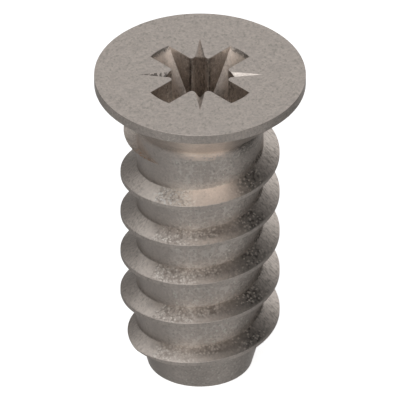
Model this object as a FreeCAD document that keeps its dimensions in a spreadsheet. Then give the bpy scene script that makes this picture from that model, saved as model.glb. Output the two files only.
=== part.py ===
import FreeCAD, Part
import math
import os
import Sketcher

# A euro screw: a coarse-thread furniture screw with a countersunk head, cold-headed and
# thread-rolled from one piece of steel wire. It drives into the 5 mm holes of cabinet sides
# and holds down a hinge plate or a drawer runner.
#
# The screw's axis is Z. The origin is the centre of the flat tip, and the head is at the top.
# All lengths are in mm and all angles in degrees. Depths are measured down from the head's top.

SIZES = [
    ("total_length", 13.66, "head's top to flat tip"),
    ("head_diameter", 8.38, "outside of the head's rim"),
    ("rim_height", 0.41, "straight rim above the countersink"),
    ("seat_angle", 90, "countersink, cone's full angle"),
    ("neck_radius", 0.8, "rounding between countersink and neck"),
    ("core_diameter", 5.03, "neck and thread root, for a 5 mm hole"),
    ("thread_diameter", 6.3, "over the crests"),
    ("thread_pitch", 1.89, "rise of one turn"),
    ("thread_angle", 60, "angle between the two flanks"),
    ("crest_land", 0.16, "flat width left on the crest"),
    ("thread_start", 3.0, "depth at which the thread begins"),
    ("thread_length", 9.0, "threaded length"),
    ("crest_depth", 3.766, "depth of the first whole crest, on the +X side"),
    ("root_overlap", 0.2, "how far the tooth is rooted in the core"),
    ("tip_diameter", 4.15, "flat end of the tapered tip"),
    ("wing_span", 4.62, "recess across the ends of two wings"),
    ("wing_width", 1.03, "recess wing, side to side"),
    ("wing_slope", 28, "lean of a wing's end towards the axis"),
    ("socket_width", 1.98, "square middle of the recess, across flats"),
    ("socket_depth", 2.9, "head's top to the lowest point of the recess"),
    ("floor_angle", 120, "conical floor of the recess, full angle"),
    ("corner_radius", 0.14, "rounded corner between wing and middle"),
    ("tick_span", 4.9, "across the outer points of two tick marks"),
    ("tick_slope", 9, "fall of a tick mark's bottom towards the recess"),
    ("tick_angle", 90, "angle between a tick mark's walls"),
    ("punch_rise", 0.5, "how far the recess punch stands above the head"),
]

# The heights and radii that several outlines share. Heights are from the tip's centre.
HEAD_RADIUS = "dims.head_diameter / 2"
CORE_RADIUS = "dims.core_diameter / 2"
THREAD_RADIUS = "dims.thread_diameter / 2"
RIM_BOTTOM = "(dims.total_length - dims.rim_height)"
SEAT_DROP = "(dims.head_diameter - dims.core_diameter) / 2 / tan(dims.seat_angle / 2)"
THREAD_TOP = "(dims.total_length - dims.thread_start)"
THREAD_END = "(dims.total_length - dims.thread_start - dims.thread_length)"

# The tooth is a triangle that goes on past the crest, so that the crest's land can be turned.
FLANK = "tan(dims.thread_angle / 2)"
TOOTH_ROOT = "(dims.core_diameter / 2 - dims.root_overlap)"
TOOTH_POINT = f"(dims.thread_diameter / 2 + dims.crest_land / 2 / {FLANK})"
TOOTH_HALF = f"(({TOOTH_POINT} - {TOOTH_ROOT}) * {FLANK})"

# The coil is wound in whole turns from the first whole crest, past both ends of the thread.
REACH_UP = f"({TOOTH_HALF} + dims.crest_depth - dims.thread_start)"
REACH_DOWN = f"({TOOTH_HALF} + dims.thread_start + dims.thread_length - dims.crest_depth)"
TURNS_UP = f"ceil({REACH_UP} / dims.thread_pitch)"
TURNS_DOWN = f"ceil({REACH_DOWN} / dims.thread_pitch)"
COIL_START = f"(dims.total_length - dims.crest_depth - {TURNS_DOWN} * dims.thread_pitch)"
COIL_HEIGHT = f"(({TURNS_DOWN} + {TURNS_UP}) * dims.thread_pitch)"

# The recess punch: its top, and the depth at which the wings' sloping ends reach the middle.
PUNCH_TOP = "(dims.total_length + dims.punch_rise)"
WING_LEAN = "tan(dims.wing_slope)"
WING_DEPTH = f"((dims.wing_span - dims.socket_width) / 2 / {WING_LEAN})"
FLOOR_RISE = "dims.socket_width / tan(dims.floor_angle / 2)"


def make_sheet(doc):
    """The sheet of driving sizes, one row each: what it is, its value, and its place."""
    sheet = doc.addObject("Spreadsheet::Sheet", "dims")
    for row, (name, value, place) in enumerate(SIZES, start=1):
        sheet.set(f"A{row}", name)
        sheet.set(f"B{row}", str(value))
        sheet.set(f"C{row}", place)
        sheet.setAlias(f"B{row}", name)
    doc.recompute()
    return sheet


def make_body(doc, name):
    """An empty body with its own origin."""
    body = doc.addObject("PartDesign::Body", name)
    doc.recompute()
    return body


def origin_part(body, role):
    """The body's own origin plane or axis with this role."""
    return next(item for item in body.Origin.OriginFeatures if item.Role == role)


def outline(body, name, plane, corners):
    """A closed outline of straight edges, each corner held by its two distances from the origin."""
    sketch = body.newObject("Sketcher::SketchObject", name)
    sketch.AttachmentSupport = (origin_part(body, plane), [""])
    sketch.MapMode = "FlatFace"

    # The corners are drawn spread round a circle, and their distances then pull them into place.
    count = len(corners)
    turns = [2 * math.pi * index / count for index in range(count)]
    drawn = [FreeCAD.Vector(4 * math.cos(turn), 4 * math.sin(turn), 0) for turn in turns]
    for index in range(count):
        sketch.addGeometry(Part.LineSegment(drawn[index], drawn[(index + 1) % count]))
    for index in range(count):
        sketch.addConstraint(Sketcher.Constraint("Coincident", index, 2, (index + 1) % count, 1))
    for index, (across, up) in enumerate(corners):
        hold_corner(sketch, index, "DistanceX", -2, across, drawn[index].x)
        hold_corner(sketch, index, "DistanceY", -1, up, drawn[index].y)
    body.Document.recompute()
    return sketch


def hold_corner(sketch, index, kind, axis, distance, drawn):
    """Hold a corner at a distance from the origin, or on the axis where the distance is zero."""
    if distance == "0":
        sketch.addConstraint(Sketcher.Constraint("PointOnObject", index, 1, axis))
        return
    held = sketch.addConstraint(Sketcher.Constraint(kind, -1, 1, index, 1, drawn))
    way = "across" if kind == "DistanceX" else "up"
    sketch.renameConstraint(held, f"corner_{index + 1}_{way}")
    sketch.setExpression(f"Constraints[{held}]", distance)


def turned(body, kind, name, sketch):
    """A full turn of an outline about the screw's axis, added or cut."""
    feature = body.newObject(kind, name)
    feature.Profile = sketch
    feature.ReferenceAxis = (sketch, ["V_Axis"])
    feature.Angle = 360
    body.Document.recompute()
    return feature


def pushed_down(body, name, sketch, depth):
    """An outline pushed down along the screw's axis."""
    feature = body.newObject("PartDesign::Pad", name)
    feature.Profile = sketch
    feature.Reversed = True
    feature.setExpression("Length", depth)
    body.Document.recompute()
    return feature


def ringed(body, name, feature, copies):
    """Copies of a feature, evenly spaced round the screw's axis."""
    ring = body.newObject("PartDesign::PolarPattern", name)
    ring.Originals = [feature]
    ring.Axis = (origin_part(body, "Z_Axis"), [""])
    ring.Angle = 360
    ring.Occurrences = copies
    body.Tip = ring
    body.Document.recompute()
    return ring


def rounded(body, name, base, radius, is_edge):
    """Rounding of the edges that pass a test."""
    names = [f"Edge{number}" for number, edge in enumerate(base.Shape.Edges, start=1) if is_edge(edge)]
    rounding = body.newObject("PartDesign::Fillet", name)
    rounding.Base = (base, names)
    rounding.setExpression("Radius", radius)
    body.Document.recompute()
    return rounding


def make_punch(doc):
    """The cold-heading punch whose print is the cross recess, type Z, size 2."""
    punch = make_body(doc, "recess_punch")
    make_wings(punch)
    make_socket(punch)
    make_ticks(punch)
    return punch


def make_wings(punch):
    """Four wings and the top of the square middle, between the X and Y axes."""
    past_wing = "(dims.wing_span / 2 + dims.punch_rise)"
    half_wing = "(dims.wing_width / 2)"
    arm = outline(punch, "wing_outline", "XY_Plane", [
        ("0", f"-{half_wing}"),
        (past_wing, f"-{half_wing}"),
        (past_wing, half_wing),
        ("0", half_wing),
    ])
    half_socket = "(dims.socket_width / 2)"
    square = outline(punch, "socket_outline", "XY_Plane", [
        (f"-{half_socket}", f"-{half_socket}"),
        (half_socket, f"-{half_socket}"),
        (half_socket, half_socket),
        (f"-{half_socket}", half_socket),
    ])
    eighth_turn = FreeCAD.Rotation(FreeCAD.Vector(0, 0, 1), 45)
    for sketch in (arm, square):
        sketch.AttachmentOffset = FreeCAD.Placement(FreeCAD.Vector(), eighth_turn)
        sketch.setExpression(".AttachmentOffset.Base.z", PUNCH_TOP)
    punch.Document.recompute()

    reach = f"{WING_DEPTH} + dims.punch_rise"
    ringed(punch, "wings", pushed_down(punch, "wing", arm, reach), 4)
    middle = pushed_down(punch, "socket_top", square, reach)

    # The wings leave the square middle in eight upright corners, which are rounded.
    sizes = punch.Document.getObject("dims")
    corner = math.hypot(sizes.socket_width / 2, sizes.wing_width / 2)

    def is_corner(edge):
        ends = [vertex.Point for vertex in edge.Vertexes]
        if len(ends) != 2 or math.hypot(ends[0].x - ends[1].x, ends[0].y - ends[1].y) > 1e-6:
            return False
        return abs(math.hypot(ends[0].x, ends[0].y) - corner) < 1e-6

    rounded(punch, "wing_corners", middle, "dims.corner_radius", is_corner)

    # The wings' ends lie on one cone about the axis.
    past_corner = "(dims.wing_span / 2 + dims.punch_rise * 3)"
    lean = outline(punch, "wing_ends_outline", "XZ_Plane", [
        (f"dims.wing_span / 2 + dims.punch_rise * {WING_LEAN}", PUNCH_TOP),
        (past_corner, PUNCH_TOP),
        (past_corner, f"dims.total_length - {WING_DEPTH}"),
        ("dims.socket_width / 2", f"dims.total_length - {WING_DEPTH}"),
    ])
    turned(punch, "PartDesign::Groove", "wing_ends", lean)


def make_socket(punch):
    """The square middle goes on below the wings, to a conical floor."""
    square = punch.Document.getObject("socket_outline")
    pushed_down(punch, "socket", square, "dims.socket_depth + dims.punch_rise")
    floor = outline(punch, "floor_outline", "XZ_Plane", [
        ("0", "dims.total_length - dims.socket_depth"),
        ("dims.socket_width", f"dims.total_length - dims.socket_depth + {FLOOR_RISE}"),
        ("dims.socket_width", "dims.total_length - dims.socket_depth - dims.punch_rise"),
        ("0", "dims.total_length - dims.socket_depth - dims.punch_rise"),
    ])
    turned(punch, "PartDesign::Groove", "floor", floor)


def make_ticks(punch):
    """Four tick marks, each a V that starts in a point and falls towards the recess."""
    notch = outline(punch, "tick_outline", "YZ_Plane", [
        ("0", "0"),
        ("dims.punch_rise * tan(dims.tick_angle / 2)", "dims.punch_rise"),
        ("-dims.punch_rise * tan(dims.tick_angle / 2)", "dims.punch_rise"),
    ])
    falling = FreeCAD.Rotation(FreeCAD.Vector(-1, 0, 0), 1)
    notch.AttachmentOffset = FreeCAD.Placement(FreeCAD.Vector(), falling)
    notch.setExpression(".AttachmentOffset.Base.y", "dims.total_length")
    notch.setExpression(".AttachmentOffset.Base.z", "dims.tick_span / 2")
    notch.setExpression(".AttachmentOffset.Rotation.Angle", "dims.tick_slope")
    punch.Document.recompute()
    tick = pushed_down(punch, "tick", notch, "(dims.tick_span - dims.socket_width) / 2")
    ringed(punch, "ticks", tick, 4)


def make_screw(doc, punch):
    """The screw: its thread, then its turned form, then the recess in its head."""
    screw = make_body(doc, "euro_screw")
    make_thread(screw)
    make_blank(screw)
    recess = screw.newObject("PartDesign::Boolean", "recess")
    recess.Type = "Cut"
    recess.addObjects([punch])
    screw.Tip = recess
    doc.recompute()
    return screw


def make_thread(screw):
    """One right-handed tooth, wound past both ends of the thread and then trimmed."""
    tooth = outline(screw, "tooth_outline", "XZ_Plane", [
        (TOOTH_ROOT, f"{COIL_START} - {TOOTH_HALF}"),
        (TOOTH_POINT, COIL_START),
        (TOOTH_ROOT, f"{COIL_START} + {TOOTH_HALF}"),
    ])
    coil = screw.newObject("PartDesign::AdditiveHelix", "thread")
    coil.Profile = tooth
    coil.ReferenceAxis = (tooth, ["V_Axis"])
    coil.Mode = 0
    coil.LeftHanded = False
    coil.setExpression("Pitch", "dims.thread_pitch")
    coil.setExpression("Height", COIL_HEIGHT)
    screw.Document.recompute()

    # The crest's land and the thread's two flat ends, trimmed in one turn.
    beyond = "dims.thread_diameter"
    coil_top = f"({COIL_START} + {COIL_HEIGHT} + dims.thread_pitch)"
    coil_bottom = f"({COIL_START} - dims.thread_pitch)"
    trim = outline(screw, "thread_trim_outline", "XZ_Plane", [
        ("0", THREAD_TOP),
        ("0", coil_top),
        (beyond, coil_top),
        (beyond, coil_bottom),
        ("0", coil_bottom),
        ("0", THREAD_END),
        (THREAD_RADIUS, THREAD_END),
        (THREAD_RADIUS, THREAD_TOP),
    ])
    turned(screw, "PartDesign::Groove", "thread_trim", trim)


def make_blank(screw):
    """Tip, core, countersink and rim as one turned form, with a rounded neck."""
    form = outline(screw, "screw_outline", "XZ_Plane", [
        ("0", "0"),
        ("dims.tip_diameter / 2", "0"),
        (CORE_RADIUS, THREAD_END),
        (CORE_RADIUS, f"{RIM_BOTTOM} - {SEAT_DROP}"),
        (HEAD_RADIUS, RIM_BOTTOM),
        (HEAD_RADIUS, "dims.total_length"),
        ("0", "dims.total_length"),
    ])
    blank = turned(screw, "PartDesign::Revolution", "blank", form)

    sizes = screw.Document.getObject("dims")
    radius = sizes.core_diameter / 2
    drop = (sizes.head_diameter / 2 - radius) / math.tan(math.radians(sizes.seat_angle / 2))
    height = sizes.total_length - sizes.rim_height - drop

    def is_neck(edge):
        if edge.Curve.TypeId != "Part::GeomCircle" or abs(edge.Curve.Radius - radius) > 1e-4:
            return False
        return abs(edge.Curve.Center.z - height) < 1e-4

    rounded(screw, "neck", blank, "dims.neck_radius", is_neck)


def check(doc, nodes):
    """Stop if an object failed, or if a piece isn't one whole, valid solid."""
    for item in doc.Objects:
        if "Invalid" in item.State or "Error" in item.State:
            raise RuntimeError(f"{item.Name} failed: {item.State}")
    for node in nodes:
        shape = node.Shape
        if shape.isNull() or not shape.isValid() or len(shape.Solids) != 1:
            raise RuntimeError(f"{node.Label} isn't one valid solid")


def main():
    doc = FreeCAD.newDocument("EuroScrew")
    make_sheet(doc)
    screw = make_screw(doc, make_punch(doc))
    check(doc, [screw])
    os.makedirs("parts", exist_ok=True)
    screw.Shape.exportStep(f"parts/{screw.Label}.step")
    print(f"{screw.Label}: {screw.Shape.Volume:.3f} mm3")


main()
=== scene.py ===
import logging
import math
from dataclasses import dataclass, field, replace
from enum import Enum

import bpy
import numpy as np
from bpy.types import Material, NodeOutputs, NodeSocket, NodeTree, Object
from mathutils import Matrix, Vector


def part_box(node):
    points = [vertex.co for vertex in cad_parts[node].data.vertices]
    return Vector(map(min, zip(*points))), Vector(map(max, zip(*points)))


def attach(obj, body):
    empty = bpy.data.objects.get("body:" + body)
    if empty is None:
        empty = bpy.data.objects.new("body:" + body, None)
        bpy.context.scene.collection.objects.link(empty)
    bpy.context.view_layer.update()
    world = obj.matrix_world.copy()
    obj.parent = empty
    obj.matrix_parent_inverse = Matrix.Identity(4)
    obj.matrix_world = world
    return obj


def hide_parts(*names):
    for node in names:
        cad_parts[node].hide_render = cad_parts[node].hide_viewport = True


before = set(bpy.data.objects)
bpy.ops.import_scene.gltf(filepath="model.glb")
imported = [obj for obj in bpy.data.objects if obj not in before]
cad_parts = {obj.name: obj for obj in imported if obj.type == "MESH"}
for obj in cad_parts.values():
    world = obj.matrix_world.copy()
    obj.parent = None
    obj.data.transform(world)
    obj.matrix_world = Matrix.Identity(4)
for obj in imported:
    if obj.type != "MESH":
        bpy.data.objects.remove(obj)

# The looks of a euro screw that stands on its flat tip, head up. Lengths are in millimetres
# and angles in degrees, as on a maker's drawing, until a finished mesh turns them to metres.
# Depths are measured down from the head's top, and heights up from the tip.

log = logging.getLogger("euro_screw")

MM = 0.001
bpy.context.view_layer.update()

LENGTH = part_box("euro_screw")[1].z / MM
HEAD_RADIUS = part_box("euro_screw")[1].x / MM

# The recess repeats itself, mirrored, in each eighth of the way round.
EIGHTHS = 8
# Points that round to the same whole number at this many steps a millimetre are one point.
WELD_STEPS = 1e5
# How far outside a rounded edge the side's own point lies, in mm. It keeps the side flat.
EDGE_STRIP = 0.02


# ---------------------------------------------------------------- surfaces

@dataclass
class Sheet:
    """A surface on a grid of points: rows run down or across the screw, columns run round it.

    Rows go from the recess's floor up and out over the head, then down to the tip. Columns go
    anticlockwise seen from above. The faces then point outwards.
    """

    points: np.ndarray

    @staticmethod
    def round_the_axis(turn: np.ndarray, radius: np.ndarray, height: np.ndarray) -> "Sheet":
        """A sheet from cylindrical values: x = r cos t, y = r sin t, z = h.

        Args:
            turn: Angles round the axis in radians. All three spread over one grid.
            radius: Distances from the axis.
            height: Heights above the tip.

        Returns:
            The sheet, with its points in mm.
        """
        turn, radius, height = np.broadcast_arrays(turn, radius, height)
        return Sheet(np.stack([radius * np.cos(turn), radius * np.sin(turn), height], axis=-1))

    def faces(self) -> np.ndarray:
        """The grid's four-cornered faces, as numbers of its points taken row by row."""
        rows, columns = self.points.shape[:2]
        number = np.arange(rows * columns).reshape(rows, columns)
        corners = [number[:-1, :-1], number[1:, :-1], number[1:, 1:], number[:-1, 1:]]
        return np.stack(corners, axis=-1).reshape(-1, 4)


def weld(sheets: list[Sheet]) -> tuple[np.ndarray, list[list[int]]]:
    """Join sheets into one closed skin.

    Points that lie within a hundred-thousandth of a millimetre become one. A face that has
    lost a corner by it becomes a triangle, and one that has lost two is dropped.

    Args:
        sheets: The sheets, each edge of which lies on another's or on its own.

    Returns:
        The skin's points in mm, and its faces as numbers of these points.
    """
    faces, start = [], 0
    for sheet in sheets:
        faces.append(sheet.faces() + start)
        start += sheet.points.shape[0] * sheet.points.shape[1]
    cloud = np.concatenate([sheet.points.reshape(-1, 3) for sheet in sheets])
    key = np.round(cloud * WELD_STEPS).astype(np.int64)
    _, first, merged = np.unique(key, axis=0, return_index=True, return_inverse=True)
    corners = merged.reshape(-1)[np.concatenate(faces)]
    is_new = corners != np.roll(corners, 1, axis=1)
    count = is_new.sum(axis=1)
    fours = corners[count == 4]
    threes = corners[count == 3][is_new[count == 3]].reshape(-1, 3)
    return cloud[first], fours.tolist() + threes.tolist()


def object_from(name: str, points: np.ndarray, faces: list[list[int]],
                material: Material) -> Object:
    """Put a smooth-shaded object in the scene, its place in its mesh.

    Args:
        name: The name of the object and of its mesh.
        points: The mesh's points in mm.
        faces: The mesh's faces, as numbers of the points.
        material: The finish of all its faces.

    Returns:
        The object.
    """
    mesh = bpy.data.meshes.new(name)
    mesh.from_pydata((points * MM).tolist(), [], faces)
    mesh.update()
    mesh.shade_smooth()
    mesh.materials.append(material)
    made = bpy.data.objects.new(name, mesh)
    bpy.context.scene.collection.objects.link(made)
    return made


@dataclass(frozen=True)
class Corner:
    """A corner of an outline, and the radius that rounds it."""

    radius: float
    height: float
    rounding: float = 0.0


def rounded(corners: list[Corner], strips: int) -> np.ndarray:
    """An outline with its corners rounded.

    A corner turns through the angle between its two sides. Its arc starts and ends at the
    rounding times the tangent of half that angle from the corner, and swings from one side's
    normal to the other's. A point just outside each arc keeps the long sides flat.

    Args:
        corners: The outline's corners in order.
        strips: Into how many strips an arc is cut.

    Returns:
        Points of the outline, one row of radius and height each.
    """
    spots = np.array([(corner.radius, corner.height) for corner in corners])
    roundings = [corner.rounding for corner in corners[1:-1]]
    out = [spots[:1]]
    for before, spot, after, rounding in zip(spots[:-2], spots[1:-1], spots[2:], roundings):
        into = (spot - before) / np.linalg.norm(spot - before)
        onward = (after - spot) / np.linalg.norm(after - spot)
        turn = math.acos(np.clip(into @ onward, -1, 1))
        side = np.sign(into[0] * onward[1] - into[1] * onward[0])
        reach = rounding * math.tan(turn / 2)
        centre = spot - into * reach + side * rounding * np.array([-into[1], into[0]])
        swing = side * np.linspace(0, turn, strips + 1)[:, None]
        spoke = -side * rounding * np.array([-into[1], into[0]])
        across = np.array([-spoke[1], spoke[0]])
        arc = centre + spoke * np.cos(swing) + across * np.sin(swing)
        out += [(arc[0] - into * EDGE_STRIP)[None], arc, (arc[-1] + onward * EDGE_STRIP)[None]]
    return np.concatenate(out + [spots[-1:]])


def shares(count: int) -> np.ndarray:
    """Even shares from none towards one, without the one, as one row."""
    return np.linspace(0, 1, count, endpoint=False)[None]


# ---------------------------------------------------------------- cross recess

@dataclass(frozen=True)
class CrossRecess:
    """The cross recess, type Z, size 2, with its four tick marks.

    Four wings with sloping ends leave a square middle through its sides. The middle goes
    deeper, to a conical floor, and its corners point to the tick marks.
    """

    wing_span: float = 4.62
    wing_width: float = 1.03
    wing_slope: float = 28
    socket_width: float = 1.98
    socket_depth: float = 2.9
    floor_angle: float = 120
    corner_radius: float = 0.14
    tick_span: float = 4.9
    tick_slope: float = 9
    mouth_rounding: float = 0.012
    mouth_reach: float = 0.042
    tick_columns: int = 2
    face_columns: int = 3
    corner_columns: int = 6
    side_columns: int = 11
    end_columns: int = 8
    mouth_strips: int = 4
    upper_rows: tuple[float, float, int] = (0.0, 0.85, 7)
    lower_rows: tuple[float, float, int] = (0.88, 1.0, 9)
    floor_strips: int = 4
    top_strips: int = 3

    @property
    def columns(self) -> int:
        """Columns in an eighth of the way round, from a tick mark to a wing's middle."""
        flat = self.tick_columns + self.face_columns + self.side_columns
        return flat + self.corner_columns + self.end_columns

    @property
    def lean(self) -> float:
        """How far a wing's end comes in for each mm down."""
        return math.tan(math.radians(self.wing_slope))

    @property
    def floor_lean(self) -> float:
        """How far the floor falls for each mm towards the axis."""
        return 1 / math.tan(math.radians(self.floor_angle / 2))

    def section(self, spread: np.ndarray, depth: np.ndarray) -> tuple[np.ndarray, np.ndarray]:
        """The recess cut level, from a tick mark to the middle of the next wing.

        The outline follows the square's side, the rounded corner and the wing's straight side,
        and closes on the cone of the wing's sloping end, along = root of (r squared - aside
        squared). Where the cone has come in past a point, the point moves onto the cone, and
        it stops at the square's side.

        Args:
            spread: How far the outline is pushed out of the recess, one for each row.
            depth: The depth of the cut, rows by columns.

        Returns:
            Distances along the wing's middle and aside from it, rows by columns.
        """
        half = self.socket_width / 2 + spread
        wing = self.wing_width / 2 + spread
        rounding = self.corner_radius - spread
        notch = self.tick_reach(half)
        reach = self.wing_span / 2 + spread - depth * self.lean
        bend = shares(self.corner_columns) * math.pi / 2
        aside = np.concatenate([
            half - notch * shares(self.tick_columns),
            half - notch - (half - notch - wing - rounding) * shares(self.face_columns),
            wing + rounding * (1 - np.sin(bend)),
            wing * (1 - 0 * shares(self.side_columns)),
            wing * (1 - np.linspace(0, 1, self.end_columns + 1)[None]),
        ], axis=1)
        cone = np.sqrt(np.maximum(reach**2 - aside**2, 0))

        root = half + rounding
        first = self.tick_columns + self.face_columns
        sides = slice(first + self.corner_columns, -1 - self.end_columns)
        side = np.maximum(cone[:, sides] - root, 0)
        along = np.concatenate([
            half * (1 + 0 * shares(first)),
            half + rounding * (1 - np.cos(bend)),
            root + side * shares(self.side_columns),
            np.full_like(cone[:, -1 - self.end_columns:], np.inf),
        ], axis=1)
        return np.minimum(along, np.maximum(cone, half)), aside

    def tick_reach(self, half: np.ndarray) -> np.ndarray:
        """How far a tick mark cuts into the square's side, measured from the square's corner."""
        fall = math.sin(math.radians(self.tick_slope))
        across = (self.tick_span / 2 - math.sqrt(2) * half) * fall / (1 - fall)
        return across * math.sqrt(2)

    def tick_fall(self, along: np.ndarray, aside: np.ndarray) -> np.ndarray:
        """How far the tick mark's V lies under the head's top at a point.

        The V's bottom falls from its point towards the recess, and its walls rise from it at
        right angles to each other: fall = (reach - u) tan slope - v / cos slope.

        Args:
            along: Distance of the point along the wing's middle.
            aside: Distance of the point aside from it, towards the tick mark.

        Returns:
            The fall in mm, and zero outside the mark.
        """
        slope = math.radians(self.tick_slope)
        towards = (along + aside) / math.sqrt(2)
        across = np.abs(along - aside) / math.sqrt(2)
        fall = (self.tick_span / 2 - towards) * math.tan(slope) - across / math.cos(slope)
        return np.maximum(fall, 0)

    def all_round(self, eighth: np.ndarray) -> np.ndarray:
        """Values of one eighth, mirrored and repeated round the axis, with the first again."""
        place = np.arange(EIGHTHS * self.columns + 1)
        ladder = np.abs((place + self.columns) % (2 * self.columns) - self.columns)
        return eighth[:, ladder]

    def turn(self, from_tick: np.ndarray) -> np.ndarray:
        """Angles from the nearest tick mark, one eighth, as angles all the way round."""
        place = np.arange(EIGHTHS * self.columns + 1)
        quarter = 2 * self.columns
        tick = (place + self.columns) // quarter
        sign = np.where(place < tick * quarter, -1, 1)
        return tick * math.pi / 2 + sign * self.all_round(from_tick)

    def sheet(self, along: np.ndarray, aside: np.ndarray, depth: np.ndarray) -> Sheet:
        """A sheet all the way round from the points of one eighth."""
        from_tick = math.pi / 4 - np.arctan2(aside, along)
        radius = np.hypot(along, aside)
        return Sheet.round_the_axis(
            self.turn(from_tick), self.all_round(radius), LENGTH - self.all_round(depth)
        )

    def mouth(self) -> tuple[np.ndarray, np.ndarray, np.ndarray]:
        """The rounded edge of the recess: a quarter circle from the wall to the head's top.

        One more row lies on the flat top at the mouth's reach from the wall.

        Returns:
            Distances along and aside, and the depth, from the wall outwards.
        """
        swing = np.linspace(0, math.pi / 2, self.mouth_strips + 1)
        spread = np.append(self.mouth_rounding * (1 - np.cos(swing)), self.mouth_reach)[:, None]
        sink = np.append(self.mouth_rounding * (1 - np.sin(swing)), 0)[:, None]
        level = np.zeros((len(spread), self.columns + 1))
        along, aside = self.section(spread, level + sink)
        depth = self.tick_fall(along, aside) + sink
        along, aside = self.section(spread, depth)
        return along, aside, self.tick_fall(along, aside) + sink

    def walls(self) -> Sheet:
        """The floor and the walls: each wall point goes straight down until it meets the floor.

        The floor is the cone of depth D - r / tan(half angle). A wing's sloping end meets it
        in a circle, and a wall meets it where the wall is. The rows lie at shares of the way
        down, closer together near the floor, where the sloping ends reach the middle.
        """
        _, top_aside, top_depth = (part[:1] for part in self.mouth())
        half = self.socket_width / 2
        end, floor = 1 / self.lean, self.floor_lean
        meeting = (self.wing_span / 2 * end - self.socket_depth) / (end - floor)
        foot = np.maximum(np.hypot(half, top_aside), meeting)
        foot_depth = self.socket_depth - foot * floor
        rows = np.linspace(*self.upper_rows), np.linspace(*self.lower_rows)
        share = np.concatenate(rows)[::-1, None]
        depth = top_depth + (foot_depth - top_depth) * share
        along, aside = self.section(np.zeros_like(share), depth)
        inwards = shares(self.floor_strips).T
        floor_radius = np.hypot(along[:1], aside[:1]) * inwards
        floor_turn = np.arctan2(aside[:1], along[:1])
        along = np.concatenate([floor_radius * np.cos(floor_turn), along])
        aside = np.concatenate([floor_radius * np.sin(floor_turn), aside])
        depth = np.concatenate([self.socket_depth - floor_radius * floor, depth])
        return self.sheet(along, aside, depth)

    def surround(self, outer_radius: float) -> Sheet:
        """The head's flat top round the recess, from the rounded mouth to a circle.

        Every tick mark's columns meet in its point. From there the columns spread out again
        until they are even at the outer circle.

        Args:
            outer_radius: Where the sheet ends and the even columns of the rim take over.

        Returns:
            The sheet, rounded mouth and tick marks included.
        """
        along, aside, depth = self.mouth()
        first = math.pi / 4 - np.arctan2(aside[-1:], along[-1:])
        tip = first[0, self.tick_columns]
        gathered = np.maximum(first - tip, 0) * (math.pi / 4) / (math.pi / 4 - tip)
        even = np.linspace(0, math.pi / 4, self.columns + 1)[None]
        share = np.linspace(0, 1, self.top_strips + 1)[:, None]
        ring = self.tick_span / 2
        from_tick = gathered + (even - gathered) * share
        radius = (ring + (outer_radius - ring) * share) * np.ones_like(from_tick)
        turn = math.pi / 4 - from_tick
        along = np.concatenate([along, radius * np.cos(turn)])
        aside = np.concatenate([aside, radius * np.sin(turn)])
        depth = np.concatenate([depth, np.zeros_like(radius)])
        return self.sheet(along, aside, depth)


# ---------------------------------------------------------------- turned parts

def revolve(outline: np.ndarray, columns: int) -> Sheet:
    """An outline carried round the axis: each of its points becomes a level circle.

    Args:
        outline: Points of radius and height.
        columns: Columns round the axis.

    Returns:
        The sheet, one row for each point.
    """
    turn = np.linspace(0, 2 * math.pi, columns + 1)[None]
    return Sheet.round_the_axis(turn, outline[:, :1], outline[:, 1:])


@dataclass(frozen=True)
class Head:
    """The countersunk head below its flat top: rim, seat and rounded neck."""

    radius: float = HEAD_RADIUS
    rim_height: float = 0.41
    seat_angle: float = 90
    neck_rounding: float = 0.8
    edge_rounding: float = 0.012
    edge_margin: float = 0.3
    strips: int = 6

    def outline(self, core_radius: float, thread_top: float) -> np.ndarray:
        """Rim, seat and neck, from the flat top's outer circle down to the thread."""
        drop = (self.radius - core_radius) / math.tan(math.radians(self.seat_angle / 2))
        seat = LENGTH - self.rim_height
        return rounded([
            Corner(self.flat_radius, LENGTH),
            Corner(self.radius, LENGTH, self.edge_rounding),
            Corner(self.radius, seat, self.edge_rounding),
            Corner(core_radius, seat - drop, self.neck_rounding),
            Corner(core_radius, thread_top),
        ], self.strips)

    @property
    def flat_radius(self) -> float:
        """The circle inside the rim's edge at which the recess's columns have become even."""
        return self.radius - self.edge_margin


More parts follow.
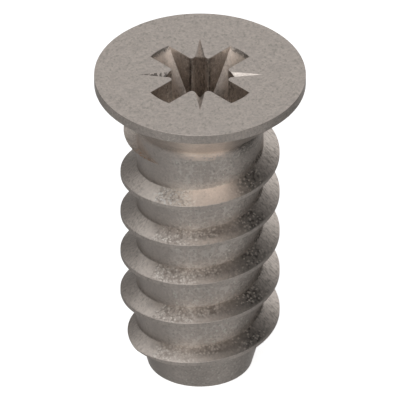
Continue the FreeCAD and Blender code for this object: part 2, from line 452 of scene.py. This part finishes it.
@dataclass(frozen=True)
class Thread:
    """The coarse rolled thread, right-handed, single start, cut level at both ends."""

    radius: float = 3.15
    core_radius: float = 2.515
    pitch: float = 1.89
    angle: float = 60
    crest_land: float = 0.16
    crest_depth: float = 3.766
    start: float = 3.0
    length: float = 9.0
    crest_rounding: float = 0.005
    strips: int = 4
    turns_past_ends: int = 2

    @property
    def top(self) -> float:
        """Height of the level cut at the thread's start."""
        return LENGTH - self.start

    @property
    def bottom(self) -> float:
        """Height of the level cut at the thread's end."""
        return LENGTH - self.start - self.length

    def tooth(self) -> np.ndarray:
        """Half of the tooth: radius, and distance from the crest's middle, to half a pitch."""
        flank = (self.radius - self.core_radius) * math.tan(math.radians(self.angle / 2))
        land = self.crest_land / 2
        return rounded([
            Corner(self.radius, 0),
            Corner(self.radius, land, self.crest_rounding),
            Corner(self.core_radius, land + flank),
            Corner(self.core_radius, self.pitch / 2),
        ], self.strips)

    def sheet(self, columns: int) -> Sheet:
        """The thread and the core between its turns.

        Rows follow the helix, height = row's own height + pitch times the share of a turn, so
        the crest's edges are lines of the grid. A row that would pass a level cut stays on it,
        where its radius is that of the tooth at that height. A circle of the core's radius
        on each cut then closes the tooth's flat end.

        Args:
            columns: Columns round the axis.

        Returns:
            The sheet, rows from the top down.
        """
        half = self.tooth()
        offsets = np.unique(np.round(np.concatenate([half[:, 1], -half[:-1, 1]]), 9))[::-1]
        last_turn = math.ceil(self.length / self.pitch) + self.turns_past_ends
        turns = np.arange(self.turns_past_ends, -last_turn - 1, -1)
        rows = LENGTH - self.crest_depth + (turns[:, None] * self.pitch + offsets).reshape(-1, 1)
        share = np.linspace(0, 1, columns + 1)[None]
        climbing = rows + share * self.pitch
        height = np.clip(climbing, self.bottom, self.top)
        crest = LENGTH - self.crest_depth + share * self.pitch
        away = (height - crest + self.pitch / 2) % self.pitch - self.pitch / 2
        radius = np.interp(np.abs(away), half[:, 1], half[:, 0])
        core = np.full((1, columns + 1), self.core_radius)
        height = np.concatenate([0 * core + self.top, height, 0 * core + self.bottom])
        radius = np.concatenate([core, radius, core])
        return Sheet.round_the_axis(2 * math.pi * share, radius, height)


@dataclass(frozen=True)
class Tip:
    """The blunt tapered tip and its flat end."""

    radius: float = 2.075
    edge_rounding: float = 0.03
    strips: int = 5
    first_share: float = 0.02

    def outline(self, core_radius: float, thread_bottom: float) -> np.ndarray:
        """Taper, rounded edge and flat end, down to the axis.

        One more point at the first share of the taper's length keeps its shading even below
        the thread's flat end.
        """
        taper = rounded([
            Corner(core_radius, thread_bottom),
            Corner(self.radius, 0, self.edge_rounding),
            Corner(0, 0),
        ], self.strips)
        first = taper[0] + (taper[1] - taper[0]) * self.first_share
        return np.insert(taper, 1, first, axis=0)


# ---------------------------------------------------------------- finish

def linear(code: str) -> tuple[float, float, float, float]:
    """An sRGB hex colour as linear red, green, blue and alpha."""
    parts = [int(code[place:place + 2], 16) / 255 for place in (1, 3, 5)]
    red, green, blue = (
        part / 12.92 if part <= 0.04045 else ((part + 0.055) / 1.055) ** 2.4 for part in parts
    )
    return red, green, blue, 1.0


def add_node(tree: NodeTree, kind: str, settings: dict, links: dict) -> NodeOutputs:
    """Add a node with its settings and links.

    Args:
        tree: The node tree.
        kind: The node's type name without its Shader prefix, and any operation after a dot.
        settings: Values by property name, or by input name or number.
        links: Sockets that feed the node, by input name or number.

    Returns:
        The node's outputs.
    """
    kind, _, operation = kind.partition(".")
    node = tree.nodes.new(f"ShaderNode{kind}")
    if operation:
        node.operation = operation
    for name, value in settings.items():
        if isinstance(name, int) or name in node.inputs:
            node.inputs[name].default_value = value
        else:
            setattr(node, name, value)
    for name, socket in links.items():
        tree.links.new(socket, node.inputs[name])
    return node.outputs


# A Mix node's sockets share their names between data types, so they go by their numbers.
FACTOR, FLOAT_A, FLOAT_B, COLOUR_A, COLOUR_B = 0, 2, 3, 6, 7
COLOUR_OUT = 2

HALF_TURN = 180.0
# Strokes fan out from this far behind the screw's axis, so they slant forwards on both sides.
STROKES_HUB = 2.1
# A noise colour stays near its middle, so it is stretched this much to pull a point its full way.
PULL_STRETCH = 3.0
# The share of the pull that also moves the patterns, so that their pebbles aren't too round.
JOSTLE_SHARE = 0.2


@dataclass(frozen=True)
class Whereabouts:
    """Where a point of the surface is: sockets in mm, and in degrees round the axis.

    Jostled is the place moved a little aside here and there, and the azimuth is that of a
    place moved further. Over the crest counts up from the middle of the nearest crest of the
    thread, and from the tick is the azimuth from the nearest tick mark. Drawn out is the place
    for strokes. It changes slowly from the core to the crest over the upper flank, because it
    counts the way outwards and the height together.
    """

    place: NodeSocket
    jostled: NodeSocket
    drawn_out: NodeSocket
    height: NodeSocket
    radius: NodeSocket
    azimuth: NodeSocket
    over_crest: NodeSocket
    from_tick: NodeSocket

    @classmethod
    def on(cls, tree: NodeTree, thread: Thread, ragged_mm: float) -> "Whereabouts":
        """Work the place out from Object coordinates.

        Args:
            tree: The node tree.
            thread: The thread, for its crest's height at an azimuth.
            ragged_mm: How far a noise pattern pulls a point aside before its azimuth is read,
                so that nothing which ends at an azimuth ends in a clean line.

        Returns:
            The sockets.
        """
        coordinates = add_node(tree, "TexCoord", {}, {})["Object"]
        place = add_node(tree, "VectorMath.SCALE", {"Scale": 1 / MM}, {0: coordinates})[0]
        parts = add_node(tree, "SeparateXYZ", {}, {0: place})
        height = parts[2]
        level = add_node(tree, "CombineXYZ", {}, {0: parts[0], 1: parts[1]})[0]
        radius = add_node(tree, "VectorMath.LENGTH", {}, {0: level})["Value"]
        noise = add_node(tree, "TexNoise", {"Scale": 1 / ragged_mm, "Detail": 3.0},
                         {"Vector": place})["Color"]
        stretch = PULL_STRETCH * ragged_mm
        pull = add_node(tree, "VectorMath.MULTIPLY_ADD",
                        {1: (stretch,) * 3, 2: (-stretch / 2,) * 3}, {0: noise})[0]
        pulled = add_node(tree, "VectorMath.ADD", {}, {0: place, 1: pull})[0]
        jostled = add_node(tree, "VectorMath.MULTIPLY_ADD", {1: (JOSTLE_SHARE,) * 3},
                           {0: pull, 2: place})[0]

        turn = cls.degrees(tree, place)
        quarter = add_node(tree, "Math.WRAP", {1: HALF_TURN / 4, 2: -HALF_TURN / 4}, {0: turn})[0]
        from_tick = add_node(tree, "Math.ABSOLUTE", {}, {0: quarter})[0]
        return cls(
            place=place,
            jostled=jostled,
            drawn_out=cls.stroke_place(tree, thread, level, radius, height),
            height=height,
            radius=radius,
            azimuth=cls.degrees(tree, pulled),
            over_crest=cls.above_crest(tree, thread, turn, height),
            from_tick=from_tick,
        )

    @staticmethod
    def above_crest(tree: NodeTree, thread: Thread, turn: NodeSocket,
                    height: NodeSocket) -> NodeSocket:
        """The height over the middle of the nearest crest, within half a pitch of it."""
        climb, start = -thread.pitch / (2 * HALF_TURN), thread.crest_depth - LENGTH
        climbed = add_node(tree, "Math.MULTIPLY_ADD", {1: climb, 2: start}, {0: turn})[0]
        over = add_node(tree, "Math.ADD", {}, {0: climbed, 1: height})[0]
        half = thread.pitch / 2
        return add_node(tree, "Math.WRAP", {1: half, 2: -half}, {0: over})[0]

    @staticmethod
    def stroke_place(tree: NodeTree, thread: Thread, level: NodeSocket, radius: NodeSocket,
                     height: NodeSocket) -> NodeSocket:
        """The place for strokes: a ring round their hub, at radius plus height."""
        hub, reach = (0, STROKES_HUB, 0), math.hypot(thread.radius, STROKES_HUB)
        spoke = add_node(tree, "VectorMath.SUBTRACT", {1: hub}, {0: level})[0]
        spoke = add_node(tree, "VectorMath.NORMALIZE", {}, {0: spoke})[0]
        ring = add_node(tree, "VectorMath.SCALE", {"Scale": reach}, {0: spoke})[0]
        outwards = add_node(tree, "Math.ADD", {}, {0: radius, 1: height})[0]
        lift = add_node(tree, "CombineXYZ", {}, {2: outwards})[0]
        return add_node(tree, "VectorMath.ADD", {}, {0: ring, 1: lift})[0]

    @staticmethod
    def degrees(tree: NodeTree, place: NodeSocket) -> NodeSocket:
        """The azimuth of a place in degrees, from -180 to 180."""
        sides = add_node(tree, "SeparateXYZ", {}, {0: place})
        turn = add_node(tree, "Math.ARCTAN2", {}, {0: sides[1], 1: sides[0]})[0]
        return add_node(tree, "Math.DEGREES", {}, {0: turn})[0]


@dataclass(frozen=True)
class Zone:
    """A part of the screw between two heights, two radii and two azimuths.

    It can also keep to a band over the thread's crest, or to one beside each tick mark. Each
    limit's share rises smoothly from nothing outside to one inside. The zone's share is their
    product.
    """

    heights: tuple[float, float]
    radii: tuple[float, float]
    azimuth: float = 0
    half_width: float = HALF_TURN
    over_crest: tuple[float, float] | None = None
    from_tick: tuple[float, float] | None = None
    soft_mm: float = 0.03
    soft_degrees: float = 10

    def at(self, azimuth: float, half_width: float, **changes: object) -> "Zone":
        """This zone kept to one side of the screw, and with other changes if there are any.

        The azimuth is that side's middle, from +X towards +Y: the front's is -90.
        """
        return replace(self, azimuth=azimuth, half_width=half_width, **changes)

    def share(self, tree: NodeTree, where: Whereabouts) -> NodeSocket:
        """The zone's share at a place, from nothing to one."""
        limits = [
            (where.height, *self.heights, self.soft_mm),
            (where.radius, *self.radii, self.soft_mm),
        ]
        if self.half_width < HALF_TURN:
            sides = self.azimuth - self.half_width, self.azimuth + self.half_width
            limits.append((where.azimuth, *sides, self.soft_degrees))
        if self.over_crest:
            limits.append((where.over_crest, *self.over_crest, self.soft_mm))
        if self.from_tick:
            limits.append((where.from_tick, *self.from_tick, self.soft_degrees))
        product = None
        for value, low, high, soft in limits:
            middle, half = (low + high) / 2, (high - low) / 2
            away = add_node(tree, "Math.SUBTRACT", {1: middle}, {0: value})[0]
            nearest = add_node(tree, "Math.WRAP", {1: HALF_TURN, 2: -HALF_TURN}, {0: away})[0]
            distance = add_node(tree, "Math.ABSOLUTE", {}, {0: nearest})[0]
            inside = add_node(tree, "MapRange", {
                "interpolation_type": "SMOOTHSTEP",
                "From Min": half + soft, "From Max": half - soft,
            }, {"Value": distance})[0]
            product = inside if product is None else add_node(
                tree, "Math.MULTIPLY", {}, {0: product, 1: inside})[0]
        return product


class Pattern(Enum):
    """How flecks are shaped: ragged as a cloud, round as pebbles, or as the gaps between them."""

    CLOUDED = "Noise"
    PEBBLED = "Voronoi, near a pebble's middle"
    GAPS = "Voronoi, far from every pebble"


@dataclass(frozen=True)
class Flecks:
    """Flecks of one colour and size, on the whole screw or in one zone.

    A fleck is where its pattern rises over a level, and it is full over the level plus the
    softness. A higher level gives fewer flecks. Strokes run from the core to the crest.
    """

    colour: str
    roughness: float
    size_mm: float
    level: float
    strength: float
    softness: float
    zone: Zone | None = None
    depth_mm: float = 0.0
    pattern: Pattern = Pattern.CLOUDED
    strokes: bool = False
    stretch: tuple[float, float, float] = (1, 1, 1)

    @classmethod
    def stain_and_painted_light(cls, colour: str, roughness: float, strength: float, zone: Zone) -> "Flecks":
        """An unbroken patch that clouds a little: its level is low and its pattern coarse. It
        serves painted highlight and painted shade, and plain tone such as the tip's.
        """
        return cls(colour, roughness, size_mm=0.60, level=0.20, strength=strength, softness=0.30,
                   zone=zone)

    def mask(self, tree: NodeTree, where: Whereabouts) -> NodeSocket:
        """How strongly the flecks show at a place, from nothing to their strength."""
        clouded = self.pattern is Pattern.CLOUDED
        place = where.place if clouded else where.jostled
        drawn = add_node(tree, "VectorMath.MULTIPLY", {1: self.stretch},
                         {0: where.drawn_out if self.strokes else place})[0]
        kind, detail = ("TexNoise", 2.0) if clouded else ("TexVoronoi", 0.0)
        value = add_node(tree, kind, {"Scale": 1 / self.size_mm, "Detail": detail},
                         {"Vector": drawn})[0]
        if self.pattern is Pattern.PEBBLED:
            value = add_node(tree, "Math.SUBTRACT", {0: 1.0}, {1: value})[0]
        over = add_node(tree, "MapRange", {
            "interpolation_type": "SMOOTHSTEP", "From Min": self.level,
            "From Max": self.level + self.softness, "To Max": self.strength,
        }, {"Value": value})[0]
        if self.zone is None:
            return over
        return add_node(tree, "Math.MULTIPLY", {}, {0: over, 1: self.zone.share(tree, where)})[0]


# Parts of the screw that several layers of its finish share.
SHANK = Zone(heights=(0.0, 11.3), radii=(0.0, 2.54))
CORE = Zone(heights=(1.7, 11.2), radii=(2.4, 2.54))
FLANKS = Zone(heights=(1.6, 10.67), radii=(2.53, 3.12))
LOWER_FLANKS = Zone(heights=(1.6, 8.9), radii=(2.53, 3.12))
FIRST_TURN = Zone(heights=(9.2, 10.1), radii=(2.53, 3.14))
TICKS = Zone(heights=(13.2, 13.652), radii=(1.3, 2.6), from_tick=(-1, 6), soft_mm=0.004)


@dataclass(frozen=True)
class BarrelNickel:
    """Matt nickel, plated in a barrel on cold-rolled steel.

    In a barrel the screws rub on each other, so the nickel is satin and faintly mottled, with
    fine flecks where the steel's grain shows through. One side of every turn is dark and
    speckled and the one across from it peppered: painted reflections of light and shade.
    Many layers below are painted highlight or painted shade, as their comments say.

    The plate's own grain is finer than 0.01 mm. The grain and the flecks are drawn 0.06 to
    0.6 mm wide, because nothing finer than about 0.05 mm shows at the photograph's size.
    Layers lie over each other in the order in which they stand, the last on top. A layer's
    numbers are its roughness, size in mm, level, strength and softness.
    """

    name: str = "matt_barrel_nickel"
    light: str = "#E7DCD3"
    dark: str = "#CFC5BD"
    roughness: float = 0.36
    roughness_swing: float = 0.03
    grain_mm: float = 0.10
    grain_depth_mm: float = 0.004
    grain_limits: tuple[float, float] = (0.3, 0.7)
    ragged_mm: float = 0.35
    flecks: tuple[Flecks, ...] = (
        # all over: the plate's soft mottling, and fine dark flecks of the steel's grain
        Flecks("#C0B9B2", 0.40, 0.34, 0.46, 0.30, 0.25),
        Flecks("#939084", 0.44, 0.10, 0.55, 0.32, 0.14, stretch=(1, 0.6, 1)),
        # the left of the core, evened out and painted a little darker: painted shade
        Flecks.stain_and_painted_light("#D0C7C0", 0.38, 0.55, SHANK.at(-142, 26, soft_degrees=18)),
        # painted glints on the front of the core and tip, and light flecks all round the rim
        Flecks("#FFFAF0", 0.30, 0.12, 0.58, 0.68, 0.12, SHANK.at(-65, 45)),
        Flecks("#FFFFF4", 0.30, 0.17, 0.64, 0.60, 0.08, SHANK.at(-88, 35)),
        Flecks("#FFFAF0", 0.30, 0.12, 0.60, 0.60, 0.12, Zone((13.2, 13.63), (4.0, 4.3))),
        # faint light streaks on the core's front: a painted reflection
        Flecks("#FFF8F0", 0.32, 0.17, 0.56, 0.46, 0.14, Zone((1.9, 11.2), (2.4, 2.54)).at(-86, 28),
               pattern=Pattern.GAPS),
        # the tip, a little darker all round
        Flecks.stain_and_painted_light("#A09A93", 0.42, 0.20, Zone((-0.1, 1.6), (0.0, 2.6))),
        # a painted line of shade where the core meets the turns, on the left
        Flecks("#8C857D", 0.44, 0.12, 0.35, 0.42, 0.25,
               CORE.at(-138, 40, over_crest=(0.42, 0.56), soft_mm=0.06)),
        # the neck's front: a painted highlight below, and above it a duller colour and more
        # roughness, so that the highlight is soft
        Flecks("#FFEFE2", 0.50, 0.13, 0.34, 0.90, 0.20,
               Zone((11.24, 11.52), (2.4, 2.7)).at(-85, 17, soft_mm=0.06, soft_degrees=14)),
        Flecks("#D6CABF", 0.52, 0.13, 0.34, 0.70, 0.20,
               Zone((11.55, 11.74), (2.4, 2.8)).at(-90, 16, soft_mm=0.06, soft_degrees=10)),
        # painted highlights: the first turn's front, and the left side of every turn
        Flecks.stain_and_painted_light("#FFF0E4", 0.36, 0.28, FIRST_TURN.at(-86, 32)),
        Flecks.stain_and_painted_light("#FFF0E4", 0.36, 0.25, FIRST_TURN.at(-68, 12)),
        Flecks.stain_and_painted_light("#FFF4EA", 0.33, 0.45, FLANKS.at(-140, 14)),
        # the peppered side of the turns: a painted reflection of bright pebbles with dark gaps
        # between them, with painted highlight brightest on the first turn and a little on the last
        Flecks.stain_and_painted_light("#FFF5EA", 0.34, 0.95, FIRST_TURN.at(-114, 15, soft_degrees=8)),
        Flecks("#FFF8F0", 0.34, 0.12, 0.44, 0.88, 0.30, FLANKS.at(-111, 17, soft_degrees=3),
               depth_mm=0.002, pattern=Pattern.PEBBLED),
        Flecks("#76655A", 0.44, 0.14, 0.50, 0.38, 0.22, FLANKS.at(-113, 15, soft_degrees=3),
               pattern=Pattern.GAPS),
        Flecks("#76655A", 0.44, 0.06, 0.56, 0.28, 0.10, FLANKS.at(-113, 15, soft_degrees=4)),
        Flecks("#FFFAF4", 0.32, 0.13, 0.56, 0.95, 0.16, FIRST_TURN.at(-113, 15, soft_degrees=4),
               pattern=Pattern.PEBBLED),
        Flecks.stain_and_painted_light("#FFF4EA", 0.34, 0.26, Zone((1.6, 2.6), (2.53, 3.14)).at(-108, 18)),
        # turns two to five: a painted highlight out by the crest, and painted brown shade in by
        # the core
        Flecks.stain_and_painted_light("#FFF4EA", 0.33, 0.22,
                     LOWER_FLANKS.at(-92, 14, over_crest=(0.06, 0.24), soft_mm=0.05)),
        Flecks.stain_and_painted_light("#5C5047", 0.42, 0.42,
                     LOWER_FLANKS.at(-75, 20, over_crest=(0.20, 0.50), soft_mm=0.07)),
        # a painted reflection of bright pebbles with dark gaps on the front of these turns
        Flecks("#FFF8F0", 0.34, 0.11, 0.50, 0.50, 0.25,
               LOWER_FLANKS.at(-84, 14, over_crest=(0.22, 0.50), soft_mm=0.05), depth_mm=0.002,
               pattern=Pattern.PEBBLED),
        Flecks("#5A4F46", 0.44, 0.11, 0.52, 0.40, 0.30,
               LOWER_FLANKS.at(-84, 14, over_crest=(0.22, 0.50), soft_mm=0.05),
               pattern=Pattern.GAPS),
        # painted shade and reflection: the dark side of the turns, its light pebbles, and the dark
        # strip of core beside it
        Flecks("#5C554E", 0.44, 0.45, 0.20, 0.42, 0.30, FLANKS.at(-42, 10)),
        Flecks("#24201D", 0.46, 0.16, 0.43, 0.56, 0.18, FLANKS.at(-43, 9, soft_degrees=7)),
        Flecks("#24201D", 0.46, 0.11, 0.42, 0.95, 0.14,
               CORE.at(-20, 10, over_crest=(0.40, 0.74), soft_mm=0.10, soft_degrees=7)),
        Flecks("#FFF4EA", 0.36, 0.14, 0.57, 0.88, 0.22,
               Zone((1.6, 10.67), (2.52, 3.12)).at(-47, 15), depth_mm=0.003,
               pattern=Pattern.PEBBLED),
        # short dark strokes across the turns' left and right sides: painted reflections, with the
        # right side painted a little brighter, a painted highlight
        Flecks("#857D74", 0.44, 0.06, 0.50, 0.28, 0.12, FLANKS.at(-172, 34), strokes=True),
        Flecks.stain_and_painted_light("#FFF4EA", 0.36, 0.25, FLANKS.at(8, 20)),
        Flecks("#6E665E", 0.44, 0.065, 0.51, 0.42, 0.12, FLANKS.at(2, 32), strokes=True),
        # painted shade: smudges of short dark strokes on both sides of the neck, the right one
        # much darker, with painted shade on the core below the right one
        Flecks("#4A423B", 0.44, 0.07, 0.46, 0.42, 0.14,
               Zone((11.76, 12.3), (2.5, 3.6)).at(-120, 14, soft_mm=0.15), strokes=True),
        Flecks("#3A342F", 0.46, 0.30, 0.30, 0.36, 0.30,
               Zone((11.2, 12.3), (2.5, 4.1)).at(-42, 11, soft_mm=0.2)),
        Flecks("#1E1B18", 0.46, 0.09, 0.39, 0.87, 0.14,
               Zone((11.15, 12.3), (2.5, 4.1)).at(-42, 14, soft_mm=0.25), strokes=True),
        Flecks.stain_and_painted_light("#8A827B", 0.42, 0.22,
                     Zone((10.7, 11.3), (2.4, 2.6)).at(-44, 10, soft_mm=0.15)),
        # the seat's front, painted a little darker: painted shade
        Flecks.stain_and_painted_light("#A39B94", 0.40, 0.31,
                     Zone((11.9, 13.2), (2.8, 4.15)).at(-90, 22, soft_mm=0.1)),
        # a trace of brown at the thread's start
        Flecks("#D9B08A", 0.38, 0.12, 0.48, 0.60, 0.12,
               Zone((9.9, 10.68), (2.56, 3.3)).at(-147, 14)),
        # the recess's walls, which the punch has drawn out downwards; the dark streaks keep to its
        # deep middle and paint its shade too
        Flecks("#A39B94", 0.38, 0.07, 0.47, 0.30, 0.12, Zone((10.5, 13.60), (0.0, 2.4)),
               stretch=(1, 1, 0.3)),
        Flecks("#3A332D", 0.44, 0.09, 0.48, 0.30, 0.16, Zone((10.5, 13.60), (0.0, 1.5)),
               stretch=(1, 1, 0.5)),
        Flecks("#FFF8F0", 0.34, 0.07, 0.56, 0.60, 0.10,
               Zone((10.5, 13.60), (0.0, 2.25), from_tick=(-1, 32)), stretch=(1, 1, 0.6)),
        # a line of painted shade and one of painted highlight beside each rounded corner, and
        # painted shade at the square corners' feet
        Flecks("#2A241F", 0.44, 0.12, 0.36, 0.60, 0.25,
               Zone((10.5, 13.63), (1.05, 1.40), from_tick=(17, 20), soft_degrees=1.5),
               stretch=(1, 1, 0.25)),
        Flecks("#FFF8F0", 0.34, 0.12, 0.34, 0.80, 0.20,
               Zone((11.0, 13.3), (1.0, 1.40), from_tick=(10, 13), soft_degrees=1.5),
               stretch=(1, 1, 0.25)),
        Flecks("#1C1713", 0.44, 0.20, 0.25, 0.50, 0.25,
               Zone((10.9, 11.9), (1.2, 1.42), from_tick=(-1, 3), soft_mm=0.25, soft_degrees=3)),
        # the two wings at the back: painted shade on the sides and a painted highlight on the
        # sloping ends
        Flecks.stain_and_painted_light("#5A4D42", 0.42, 0.20,
                     Zone((10.5, 13.6), (1.22, 2.2)).at(90, 32, from_tick=(19, 33),
                                                        soft_degrees=3)),
        Flecks.stain_and_painted_light("#FFF4EA", 0.34, 0.38,
                     Zone((12.0, 13.6), (1.5, 2.25)).at(90, 60, from_tick=(33, 46),
                                                        soft_degrees=4)),
        # dark flecks just under the outer edge of every wing: painted shade
        Flecks("#4A433D", 0.46, 0.10, 0.46, 0.60, 0.15,
               Zone((13.46, 13.655), (2.22, 2.34), from_tick=(28, 46), soft_mm=0.02)),
        # a painted highlight in the right tick mark, painted shade in those on the left and in
        # front, and dark dashes in the left one
        Flecks.stain_and_painted_light("#FFF8F0", 0.34, 0.25, TICKS.at(0, 20)),
        Flecks("#8D857D", 0.44, 0.30, 0.20, 0.45, 0.30, TICKS.at(-135, 65)),
        Flecks("#2E2925", 0.46, 0.12, 0.44, 0.95, 0.06,
               TICKS.at(180, 20, heights=(13.2, 13.657), soft_mm=0.003), stretch=(1.0, 0.5, 0.5)),
    )

    def material(self, thread: Thread) -> Material:
        """The finish as a node material on Object coordinates."""
        material = bpy.data.materials.new(self.name)
        material.use_nodes = True
        tree = material.node_tree
        tree.nodes.clear()
        where = Whereabouts.on(tree, thread, self.ragged_mm)
        grain = add_node(tree, "TexNoise", {"Scale": 1 / self.grain_mm, "Detail": 3.0},
                         {"Vector": where.place})["Fac"]
        lowest, highest = self.grain_limits
        spread = add_node(tree, "MapRange", {"From Min": lowest, "From Max": highest},
                          {"Value": grain})[0]
        colour = add_node(tree, "Mix", {
            "data_type": "RGBA", COLOUR_A: linear(self.dark), COLOUR_B: linear(self.light),
        }, {FACTOR: spread})[COLOUR_OUT]
        height = add_node(tree, "Math.MULTIPLY", {1: self.grain_depth_mm}, {0: spread})[0]
        roughness = add_node(tree, "MapRange", {
            "To Min": self.roughness + self.roughness_swing,
            "To Max": self.roughness - self.roughness_swing,
        }, {"Value": spread})[0]
        for flecks in self.flecks:
            mask = flecks.mask(tree, where)
            colour = add_node(tree, "Mix", {"data_type": "RGBA", COLOUR_B: linear(flecks.colour)},
                              {FACTOR: mask, COLOUR_A: colour})[COLOUR_OUT]
            roughness = add_node(tree, "Mix", {"data_type": "FLOAT", FLOAT_B: flecks.roughness},
                                 {FACTOR: mask, FLOAT_A: roughness})[0]
            if flecks.depth_mm:
                height = add_node(tree, "Math.MULTIPLY_ADD", {1: flecks.depth_mm},
                                  {0: mask, 2: height})[0]
        bump = add_node(tree, "Bump", {"Strength": 1.0, "Distance": MM}, {"Height": height})[0]
        shader = add_node(tree, "BsdfPrincipled", {"Metallic": 1.0}, {
            "Base Color": colour, "Roughness": roughness, "Normal": bump,
        })[0]
        add_node(tree, "OutputMaterial", {}, {"Surface": shader})
        return material


# ---------------------------------------------------------------- the screw

@dataclass
class EuroScrew:
    """The whole screw: one closed skin from the recess's floor to the flat tip."""

    name: str = "euro_screw_body"
    recess: CrossRecess = field(default_factory=CrossRecess)
    head: Head = field(default_factory=Head)
    thread: Thread = field(default_factory=Thread)
    tip: Tip = field(default_factory=Tip)
    finish: BarrelNickel = field(default_factory=BarrelNickel)
    sharp_angle: float = 32

    def build(self) -> Object:
        """Work out the skin and put it in place of the CAD node."""
        columns = EIGHTHS * self.recess.columns
        core = self.thread.core_radius
        points, faces = weld([
            self.recess.walls(),
            self.recess.surround(self.head.flat_radius),
            revolve(self.head.outline(core, self.thread.top), columns),
            self.thread.sheet(columns),
            revolve(self.tip.outline(core, self.thread.bottom), columns),
        ])
        piece = object_from(self.name, points, faces, self.finish.material(self.thread))
        piece.data.set_sharp_from_angle(angle=math.radians(self.sharp_angle))
        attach(piece, "root")
        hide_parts("euro_screw")
        return piece


# ---------------------------------------------------------------- studio

@dataclass(frozen=True)
class SoftLight:
    """A soft light on the room's wall or ceiling, brightest in its middle.

    Azimuth is counted from +X towards +Y, and spread is the angle from the middle at which the
    light has faded to about three fifths.
    """

    azimuth: float
    elevation: float
    spread: float
    strength: float

    def add(self, tree: NodeTree, direction: NodeSocket,
            so_far: NodeSocket | None, room_light: float) -> NodeSocket:
        """Add the light: strength times e to the power (cos of the angle - 1) / spread squared.

        Args:
            tree: The world's node tree.
            direction: The direction looked in.
            so_far: The light of the room and the lights before this one, if any.
            room_light: The room's own even light, which the first light starts from.

        Returns:
            The light with this one in it.
        """
        level, rise = math.radians(self.azimuth), math.radians(self.elevation)
        middle = (math.cos(rise) * math.cos(level), math.cos(rise) * math.sin(level),
                  math.sin(rise))
        tightness = 1 / math.radians(self.spread) ** 2
        cosine = add_node(tree, "VectorMath.DOT_PRODUCT", {1: middle}, {0: direction})["Value"]
        power = add_node(tree, "Math.MULTIPLY_ADD", {1: tightness, 2: -tightness}, {0: cosine})[0]
        fade = add_node(tree, "Math.EXPONENT", {}, {0: power})[0]
        links = {0: fade} if so_far is None else {0: fade, 2: so_far}
        return add_node(tree, "Math.MULTIPLY_ADD", {1: self.strength, 2: room_light}, links)[0]


@dataclass(frozen=True)
class LitAcrylic:
    """White acrylic sheet with light behind it: matt, even, and never grey in a shadow."""

    name: str = "lit_white_acrylic"
    colour: str = "#F2F2F1"
    roughness: float = 0.9
    glow: str = "#FFFFFF"
    glow_strength: float = 0.75

    def material(self) -> Material:
        """The finish as a node material."""
        material = bpy.data.materials.new(self.name)
        material.use_nodes = True
        tree = material.node_tree
        tree.nodes.clear()
        shader = add_node(tree, "BsdfPrincipled", {
            "Base Color": linear(self.colour), "Roughness": self.roughness,
            "Emission Color": linear(self.glow), "Emission Strength": self.glow_strength,
        }, {})[0]
        add_node(tree, "OutputMaterial", {}, {"Surface": shader})
        return material


@dataclass(frozen=True)
class Studio:
    """A white lit cove, soft lights round the screw and a camera that sees in parallel."""

    elevation: float = 35.264
    view_width: float = 15.816
    aim_height: float = 7.581
    distance: float = 120
    clip_near: float = 1
    clip_far: float = 10_000
    cove_radius: float = 700
    cove_height: float = 600
    cove_strips: int = 24
    cove_columns: int = 96
    room_light: float = 0.04
    lights: tuple[SoftLight, ...] = (
        SoftLight(64, 20, 15.3, 1.14),
        SoftLight(117, 50, 18.1, 0.91),
        SoftLight(-108, 10, 18.1, 1.37),
        SoftLight(-116, 40, 15.3, 2.20),
        SoftLight(-149, -50, 23.4, 0.37),
        SoftLight(-39, -50, 23.4, 0.42),
        SoftLight(-180, 60, 15.3, 0.79),
        SoftLight(157, -30, 15.3, 0.25),
        SoftLight(-64, 20, 15.3, 2.20),
        SoftLight(87, -30, 18.1, 0.72),
        SoftLight(25, -35, 18.0, 0.12),
    )

    def build(self) -> None:
        """Set up the cove, the light and the camera."""
        self.cove()
        self.room()
        self.camera()

    def cove(self) -> None:
        """A white floor that curves up into a round wall, and glows a little to stay white.

        The outline runs from the wall's top down a quarter circle to the floor's middle, and is
        carried round the axis. Only the camera sees the cove, so the lights reach the screw.
        """
        bend = np.linspace(0, math.pi / 2, self.cove_strips + 1)[:, None]
        outline = np.concatenate([
            [[self.cove_radius, self.cove_height]],
            self.cove_radius / 2 * np.concatenate([1 + np.cos(bend), 1 - np.sin(bend)], axis=1),
            [[0, 0]],
        ])
        points, faces = weld([revolve(outline[::-1], self.cove_columns)])
        cove = object_from("cove", points, faces, LitAcrylic().material())
        cove.visible_glossy = False
        cove.visible_diffuse = False
        cove.visible_shadow = False

    def room(self) -> None:
        """The room's own even light and its soft lights, by the direction looked in."""
        world = bpy.data.worlds.new("soft_studio")
        bpy.context.scene.world = world
        world.use_nodes = True
        tree = world.node_tree
        tree.nodes.clear()
        direction = add_node(tree, "TexCoord", {}, {})["Generated"]
        total = None
        for soft_light in self.lights:
            total = soft_light.add(tree, direction, total, self.room_light)
        background = add_node(tree, "Background", {}, {"Strength": total})[0]
        add_node(tree, "OutputWorld", {}, {"Surface": background})

    def camera(self) -> None:
        """The photograph's view: parallel rays, from the front and above."""
        tilt = math.radians(self.elevation)
        back = Vector((0, -math.cos(tilt), math.sin(tilt)))
        data = bpy.data.cameras.new("camera")
        data.type = "ORTHO"
        data.ortho_scale = self.view_width * MM
        data.clip_start, data.clip_end = self.clip_near * MM, self.clip_far * MM
        camera = bpy.data.objects.new("camera", data)
        bpy.context.scene.collection.objects.link(camera)
        camera.location = Vector((0, 0, self.aim_height * MM)) + back * self.distance * MM
        camera.rotation_euler = (-back).to_track_quat("-Z", "Y").to_euler()
        bpy.context.scene.camera = camera


def main() -> None:
    """Build the screw and its studio, and write down how big it came out."""
    logging.basicConfig(level=logging.INFO, format="%(name)s: %(message)s")
    bpy.context.scene.view_settings.view_transform = "Standard"
    piece = EuroScrew().build()
    log.info("%s: %d points, %d faces", piece.name, len(piece.data.vertices),
             len(piece.data.polygons))
    Studio().build()


if __name__ == "__main__":
    main()
